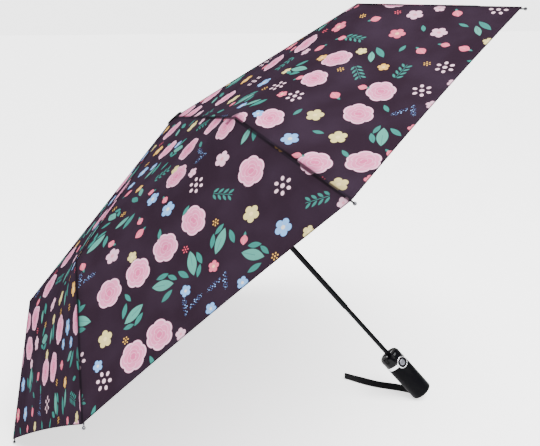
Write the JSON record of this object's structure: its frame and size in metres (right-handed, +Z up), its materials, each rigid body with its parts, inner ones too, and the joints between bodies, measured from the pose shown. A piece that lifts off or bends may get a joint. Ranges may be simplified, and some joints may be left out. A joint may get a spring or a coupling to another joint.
{
  "type": "folding umbrella",
  "caption": "Compact folding umbrella with a floral canopy, three-section ribs and shaft, sliding runner, push button and wrist strap.",
  "frame": {"origin": "centre of the bounding box at floor level, umbrella lying open on two rib tips and its handle", "axes": "+Z up; +X from the canopy towards the handle; Y across the canopy"},
  "size_m": [0.6776, 0.9006, 0.6015],
  "materials": {
    "fabric": "dark plum printed pongee with small flowers, soft satin",
    "steel": "zinc-plated steel wire and strip",
    "black_metal": "black lacquer, satin",
    "chrome": "bright plated trim",
    "gloss_black": "glossy black",
    "matte_black": "rubberised matte black",
    "strap_black": "black woven ribbon",
    "button_grey": "silver-grey moulded button"
  },
  "bodies": {
    "handle": {"handle_grip": "matte_black", "trim_band": "chrome", "handle_collar": "gloss_black", "handle_end_cap": "gloss_black", "button_bezel": "chrome", "button_ring": "gloss_black", "button_spring": "steel", "tube_lower": "black_metal", "strap_lug": "gloss_black", "wrist_strap": "strap_black"},
    "button": {"button": "button_grey"},
    "middle_tube": {"tube_middle": "black_metal"},
    "canopy_head": {"tube_upper": "black_metal", "crown": "gloss_black", "crown_wire": "steel", "crown_cap": "gloss_black", "canopy": "fabric"},
    "runner": {"runner": "gloss_black", "runner_wire": "steel"},
    "inner_1": {"inner_rib_1": "black_metal"},
    "strut_1": {"stretcher_1": "black_metal"},
    "link_1": {"control_link_1": "steel"},
    "middle_1": {"middle_rib_1": "black_metal"},
    "outer_1": {"outer_rib_1": "steel"},
    "inner_2": {"inner_rib_2": "black_metal"},
    "strut_2": {"stretcher_2": "black_metal"},
    "link_2": {"control_link_2": "steel"},
    "middle_2": {"middle_rib_2": "black_metal"},
    "outer_2": {"outer_rib_2": "steel"},
    "inner_3": {"inner_rib_3": "black_metal"},
    "strut_3": {"stretcher_3": "black_metal"},
    "link_3": {"control_link_3": "steel"},
    "middle_3": {"middle_rib_3": "black_metal"},
    "outer_3": {"outer_rib_3": "steel"},
    "inner_4": {"inner_rib_4": "black_metal"},
    "strut_4": {"stretcher_4": "black_metal"},
    "link_4": {"control_link_4": "steel"},
    "middle_4": {"middle_rib_4": "black_metal"},
    "outer_4": {"outer_rib_4": "steel"},
    "inner_5": {"inner_rib_5": "black_metal"},
    "strut_5": {"stretcher_5": "black_metal"},
    "link_5": {"control_link_5": "steel"},
    "middle_5": {"middle_rib_5": "black_metal"},
    "outer_5": {"outer_rib_5": "steel"},
    "inner_6": {"inner_rib_6": "black_metal"},
    "strut_6": {"stretcher_6": "black_metal"},
    "link_6": {"control_link_6": "steel"},
    "middle_6": {"middle_rib_6": "black_metal"},
    "outer_6": {"outer_rib_6": "steel"},
    "inner_7": {"inner_rib_7": "black_metal"},
    "strut_7": {"stretcher_7": "black_metal"},
    "link_7": {"control_link_7": "steel"},
    "middle_7": {"middle_rib_7": "black_metal"},
    "outer_7": {"outer_rib_7": "steel"},
    "inner_8": {"inner_rib_8": "black_metal"},
    "strut_8": {"stretcher_8": "black_metal"},
    "link_8": {"control_link_8": "steel"},
    "middle_8": {"middle_rib_8": "black_metal"},
    "outer_8": {"outer_rib_8": "steel"}
  },
  "joints": [
    {"name": "middle_tube_slide", "type": "slide", "parent": "handle", "child": "middle_tube", "axis": [0.6599, 0, -0.7514], "range_m": [0, 0.12]},
    {"name": "upper_tube_slide", "type": "slide", "parent": "middle_tube", "child": "canopy_head", "axis": [0.6599, 0, -0.7514], "range_m": [0, 0.162]},
    {"name": "button_press", "type": "slide", "parent": "handle", "child": "button", "axis": [-0.5028, 0.7431, -0.4415], "range_m": [0, 0.0022], "stiffness_N_per_m": 900, "springref_m": -0.0012, "deforming": ["button_spring"]},
    {"name": "rib_1_fold", "type": "hinge", "parent": "canopy_head", "child": "inner_1", "pos_m": [-0.12898, -0.00421, 0.4294], "axis": [0.2875, -0.9239, 0.2525], "range_deg": [0, 78.2], "deforming": ["canopy"]},
    {"name": "strut_1_hinge", "type": "hinge", "parent": "inner_1", "child": "strut_1", "pos_m": [-0.18163, -0.03891, 0.3624], "axis": [0.2875, -0.9239, 0.2525], "range_deg": [-157.4, 1]},
    {"name": "link_1_hinge", "type": "hinge", "parent": "strut_1", "child": "link_1", "pos_m": [-0.17319, -0.03491, 0.36742], "axis": [0.2875, -0.9239, 0.2525], "range_deg": [-1, 157.4]},
    {"name": "middle_1_hinge", "type": "hinge", "parent": "inner_1", "child": "middle_1", "pos_m": [-0.22226, -0.06568, 0.3107], "axis": [0.2875, -0.9239, 0.2525], "range_deg": [-176.5, 1]},
    {"name": "outer_1_hinge", "type": "hinge", "parent": "middle_1", "child": "outer_1", "pos_m": [-0.3125, -0.12634, 0.19153], "axis": [0.2875, -0.9239, 0.2525], "range_deg": [-1, 148.9]},
    {"name": "rib_2_fold", "type": "hinge", "parent": "canopy_head", "child": "inner_2", "pos_m": [-0.1245, -0.01016, 0.43332], "axis": [0.6942, -0.3827, 0.6096], "range_deg": [-1, 79.2]},
    {"name": "strut_2_hinge", "type": "hinge", "parent": "inner_2", "child": "strut_2", "pos_m": [-0.14028, -0.09393, 0.39871], "axis": [0.6942, -0.3827, 0.6096], "range_deg": [-157.4, 1]},
    {"name": "link_2_hinge", "type": "hinge", "parent": "strut_2", "child": "link_2", "pos_m": [-0.13609, -0.08428, 0.4], "axis": [0.6942, -0.3827, 0.6096], "range_deg": [-1, 157.4]},
    {"name": "middle_2_hinge", "type": "hinge", "parent": "inner_2", "child": "middle_2", "pos_m": [-0.15246, -0.15858, 0.372], "axis": [0.6942, -0.3827, 0.6096], "range_deg": [-176.5, 1]},
    {"name": "outer_2_hinge", "type": "hinge", "parent": "middle_2", "child": "outer_2", "pos_m": [-0.17824, -0.30502, 0.30943], "axis": [0.6942, -0.3827, 0.6096], "range_deg": [-1, 148.9]},
    {"name": "rib_3_fold", "type": "hinge", "parent": "canopy_head", "child": "inner_3", "pos_m": [-0.11818, -0.01016, 0.43888], "axis": [0.6942, 0.3827, 0.6096], "range_deg": [-1, 79.2]},
    {"name": "strut_3_hinge", "type": "hinge", "parent": "inner_3", "child": "strut_3", "pos_m": [-0.08182, -0.09393, 0.45006], "axis": [0.6942, 0.3827, 0.6096], "range_deg": [-157.4, 1]},
    {"name": "link_3_hinge", "type": "hinge", "parent": "strut_3", "child": "link_3", "pos_m": [-0.08363, -0.08428, 0.44607], "axis": [0.6942, 0.3827, 0.6096], "range_deg": [-1, 157.4]},
    {"name": "middle_3_hinge", "type": "hinge", "parent": "inner_3", "child": "middle_3", "pos_m": [-0.05375, -0.15858, 0.45868], "axis": [0.6942, 0.3827, 0.6096], "range_deg": [-176.5, 1]},
    {"name": "outer_3_hinge", "type": "hinge", "parent": "middle_3", "child": "outer_3", "pos_m": [0.01162, -0.30502, 0.47616], "axis": [0.6942, 0.3827, 0.6096], "range_deg": [-1, 148.9]},
    {"name": "rib_4_fold", "type": "hinge", "parent": "canopy_head", "child": "inner_4", "pos_m": [-0.1137, -0.00421, 0.44281], "axis": [0.2875, 0.9239, 0.2525], "range_deg": [-1, 79.2]},
    {"name": "strut_4_hinge", "type": "hinge", "parent": "inner_4", "child": "strut_4", "pos_m": [-0.04047, -0.03891, 0.48636], "axis": [0.2875, 0.9239, 0.2525], "range_deg": [-157.4, 1]},
    {"name": "link_4_hinge", "type": "hinge", "parent": "strut_4", "child": "link_4", "pos_m": [-0.04654, -0.03491, 0.47864], "axis": [0.2875, 0.9239, 0.2525], "range_deg": [-1, 157.4]},
    {"name": "middle_4_hinge", "type": "hinge", "parent": "inner_4", "child": "middle_4", "pos_m": [0.01604, -0.06568, 0.51998], "axis": [0.2875, 0.9239, 0.2525], "range_deg": [-176.5, 1]},
    {"name": "outer_4_hinge", "type": "hinge", "parent": "middle_4", "child": "outer_4", "pos_m": [0.14588, -0.12634, 0.59406], "axis": [0.2875, 0.9239, 0.2525], "range_deg": [-1, 148.9]},
    {"name": "rib_5_fold", "type": "hinge", "parent": "canopy_head", "child": "inner_5", "pos_m": [-0.1137, 0.00421, 0.44281], "axis": [-0.2875, 0.9239, -0.2525], "range_deg": [-1, 79.2]},
    {"name": "strut_5_hinge", "type": "hinge", "parent": "inner_5", "child": "strut_5", "pos_m": [-0.04047, 0.03891, 0.48636], "axis": [-0.2875, 0.9239, -0.2525], "range_deg": [-157.4, 1]},
    {"name": "link_5_hinge", "type": "hinge", "parent": "strut_5", "child": "link_5", "pos_m": [-0.04654, 0.03491, 0.47864], "axis": [-0.2875, 0.9239, -0.2525], "range_deg": [-1, 157.4]},
    {"name": "middle_5_hinge", "type": "hinge", "parent": "inner_5", "child": "middle_5", "pos_m": [0.01604, 0.06568, 0.51998], "axis": [-0.2875, 0.9239, -0.2525], "range_deg": [-176.5, 1]},
    {"name": "outer_5_hinge", "type": "hinge", "parent": "middle_5", "child": "outer_5", "pos_m": [0.14588, 0.12634, 0.59406], "axis": [-0.2875, 0.9239, -0.2525], "range_deg": [-1, 148.9]},
    {"name": "rib_6_fold", "type": "hinge", "parent": "canopy_head", "child": "inner_6", "pos_m": [-0.11818, 0.01016, 0.43888], "axis": [-0.6942, 0.3827, -0.6096], "range_deg": [-1, 79.2]},
    {"name": "strut_6_hinge", "type": "hinge", "parent": "inner_6", "child": "strut_6", "pos_m": [-0.08182, 0.09393, 0.45006], "axis": [-0.6942, 0.3827, -0.6096], "range_deg": [-157.4, 1]},
    {"name": "link_6_hinge", "type": "hinge", "parent": "strut_6", "child": "link_6", "pos_m": [-0.08363, 0.08428, 0.44607], "axis": [-0.6942, 0.3827, -0.6096], "range_deg": [-1, 157.4]},
    {"name": "middle_6_hinge", "type": "hinge", "parent": "inner_6", "child": "middle_6", "pos_m": [-0.05375, 0.15858, 0.45868], "axis": [-0.6942, 0.3827, -0.6096], "range_deg": [-176.5, 1]},
    {"name": "outer_6_hinge", "type": "hinge", "parent": "middle_6", "child": "outer_6", "pos_m": [0.01162, 0.30502, 0.47616], "axis": [-0.6942, 0.3827, -0.6096], "range_deg": [-1, 148.9]},
    {"name": "rib_7_fold", "type": "hinge", "parent": "canopy_head", "child": "inner_7", "pos_m": [-0.1245, 0.01016, 0.43332], "axis": [-0.6942, -0.3827, -0.6096], "range_deg": [-1, 79.2]},
    {"name": "strut_7_hinge", "type": "hinge", "parent": "inner_7", "child": "strut_7", "pos_m": [-0.14028, 0.09393, 0.39871], "axis": [-0.6942, -0.3827, -0.6096], "range_deg": [-157.4, 1]},
    {"name": "link_7_hinge", "type": "hinge", "parent": "strut_7", "child": "link_7", "pos_m": [-0.13609, 0.08428, 0.4], "axis": [-0.6942, -0.3827, -0.6096], "range_deg": [-1, 157.4]},
    {"name": "middle_7_hinge", "type": "hinge", "parent": "inner_7", "child": "middle_7", "pos_m": [-0.15246, 0.15858, 0.372], "axis": [-0.6942, -0.3827, -0.6096], "range_deg": [-176.5, 1]},
    {"name": "outer_7_hinge", "type": "hinge", "parent": "middle_7", "child": "outer_7", "pos_m": [-0.17824, 0.30502, 0.30943], "axis": [-0.6942, -0.3827, -0.6096], "range_deg": [-1, 148.9]},
    {"name": "rib_8_fold", "type": "hinge", "parent": "canopy_head", "child": "inner_8", "pos_m": [-0.12898, 0.00421, 0.4294], "axis": [-0.2875, -0.9239, -0.2525], "range_deg": [-1, 79.2]},
    {"name": "strut_8_hinge", "type": "hinge", "parent": "inner_8", "child": "strut_8", "pos_m": [-0.18163, 0.03891, 0.3624], "axis": [-0.2875, -0.9239, -0.2525], "range_deg": [-157.4, 1]},
    {"name": "link_8_hinge", "type": "hinge", "parent": "strut_8", "child": "link_8", "pos_m": [-0.17319, 0.03491, 0.36742], "axis": [-0.2875, -0.9239, -0.2525], "range_deg": [-1, 157.4]},
    {"name": "middle_8_hinge", "type": "hinge", "parent": "inner_8", "child": "middle_8", "pos_m": [-0.22226, 0.06568, 0.3107], "axis": [-0.2875, -0.9239, -0.2525], "range_deg": [-176.5, 1]},
    {"name": "outer_8_hinge", "type": "hinge", "parent": "middle_8", "child": "outer_8", "pos_m": [-0.3125, 0.12634, 0.19153], "axis": [-0.2875, -0.9239, -0.2525], "range_deg": [-1, 148.9]},
    {"name": "runner_hinge", "type": "hinge", "parent": "strut_1", "child": "runner", "pos_m": [-0.10839, -0.00421, 0.40596], "axis": [0.2875, -0.9239, 0.2525], "range_deg": [-1, 79.2]}
  ],
  "couplings": [
    {"joint": "strut_1_hinge", "follows": "rib_1_fold", "ratio": -2},
    {"joint": "link_1_hinge", "follows": "rib_1_fold", "ratio": 2},
    {"joint": "middle_1_hinge", "follows": "rib_1_fold", "ratio": -2.2442},
    {"joint": "outer_1_hinge", "follows": "rib_1_fold", "ratio": 1.8913},
    {"joint": "rib_2_fold", "follows": "rib_1_fold", "ratio": 1},
    {"joint": "strut_2_hinge", "follows": "rib_1_fold", "ratio": -2},
    {"joint": "link_2_hinge", "follows": "rib_1_fold", "ratio": 2},
    {"joint": "middle_2_hinge", "follows": "rib_1_fold", "ratio": -2.2442},
    {"joint": "outer_2_hinge", "follows": "rib_1_fold", "ratio": 1.8913},
    {"joint": "rib_3_fold", "follows": "rib_1_fold", "ratio": 1},
    {"joint": "strut_3_hinge", "follows": "rib_1_fold", "ratio": -2},
    {"joint": "link_3_hinge", "follows": "rib_1_fold", "ratio": 2},
    {"joint": "middle_3_hinge", "follows": "rib_1_fold", "ratio": -2.2442},
    {"joint": "outer_3_hinge", "follows": "rib_1_fold", "ratio": 1.8913},
    {"joint": "rib_4_fold", "follows": "rib_1_fold", "ratio": 1},
    {"joint": "strut_4_hinge", "follows": "rib_1_fold", "ratio": -2},
    {"joint": "link_4_hinge", "follows": "rib_1_fold", "ratio": 2},
    {"joint": "middle_4_hinge", "follows": "rib_1_fold", "ratio": -2.2442},
    {"joint": "outer_4_hinge", "follows": "rib_1_fold", "ratio": 1.8913},
    {"joint": "rib_5_fold", "follows": "rib_1_fold", "ratio": 1},
    {"joint": "strut_5_hinge", "follows": "rib_1_fold", "ratio": -2},
    {"joint": "link_5_hinge", "follows": "rib_1_fold", "ratio": 2},
    {"joint": "middle_5_hinge", "follows": "rib_1_fold", "ratio": -2.2442},
    {"joint": "outer_5_hinge", "follows": "rib_1_fold", "ratio": 1.8913},
    {"joint": "rib_6_fold", "follows": "rib_1_fold", "ratio": 1},
    {"joint": "strut_6_hinge", "follows": "rib_1_fold", "ratio": -2},
    {"joint": "link_6_hinge", "follows": "rib_1_fold", "ratio": 2},
    {"joint": "middle_6_hinge", "follows": "rib_1_fold", "ratio": -2.2442},
    {"joint": "outer_6_hinge", "follows": "rib_1_fold", "ratio": 1.8913},
    {"joint": "rib_7_fold", "follows": "rib_1_fold", "ratio": 1},
    {"joint": "strut_7_hinge", "follows": "rib_1_fold", "ratio": -2},
    {"joint": "link_7_hinge", "follows": "rib_1_fold", "ratio": 2},
    {"joint": "middle_7_hinge", "follows": "rib_1_fold", "ratio": -2.2442},
    {"joint": "outer_7_hinge", "follows": "rib_1_fold", "ratio": 1.8913},
    {"joint": "rib_8_fold", "follows": "rib_1_fold", "ratio": 1},
    {"joint": "strut_8_hinge", "follows": "rib_1_fold", "ratio": -2},
    {"joint": "link_8_hinge", "follows": "rib_1_fold", "ratio": 2},
    {"joint": "middle_8_hinge", "follows": "rib_1_fold", "ratio": -2.2442},
    {"joint": "outer_8_hinge", "follows": "rib_1_fold", "ratio": 1.8913},
    {"joint": "runner_hinge", "follows": "rib_1_fold", "ratio": 1}
  ]
}
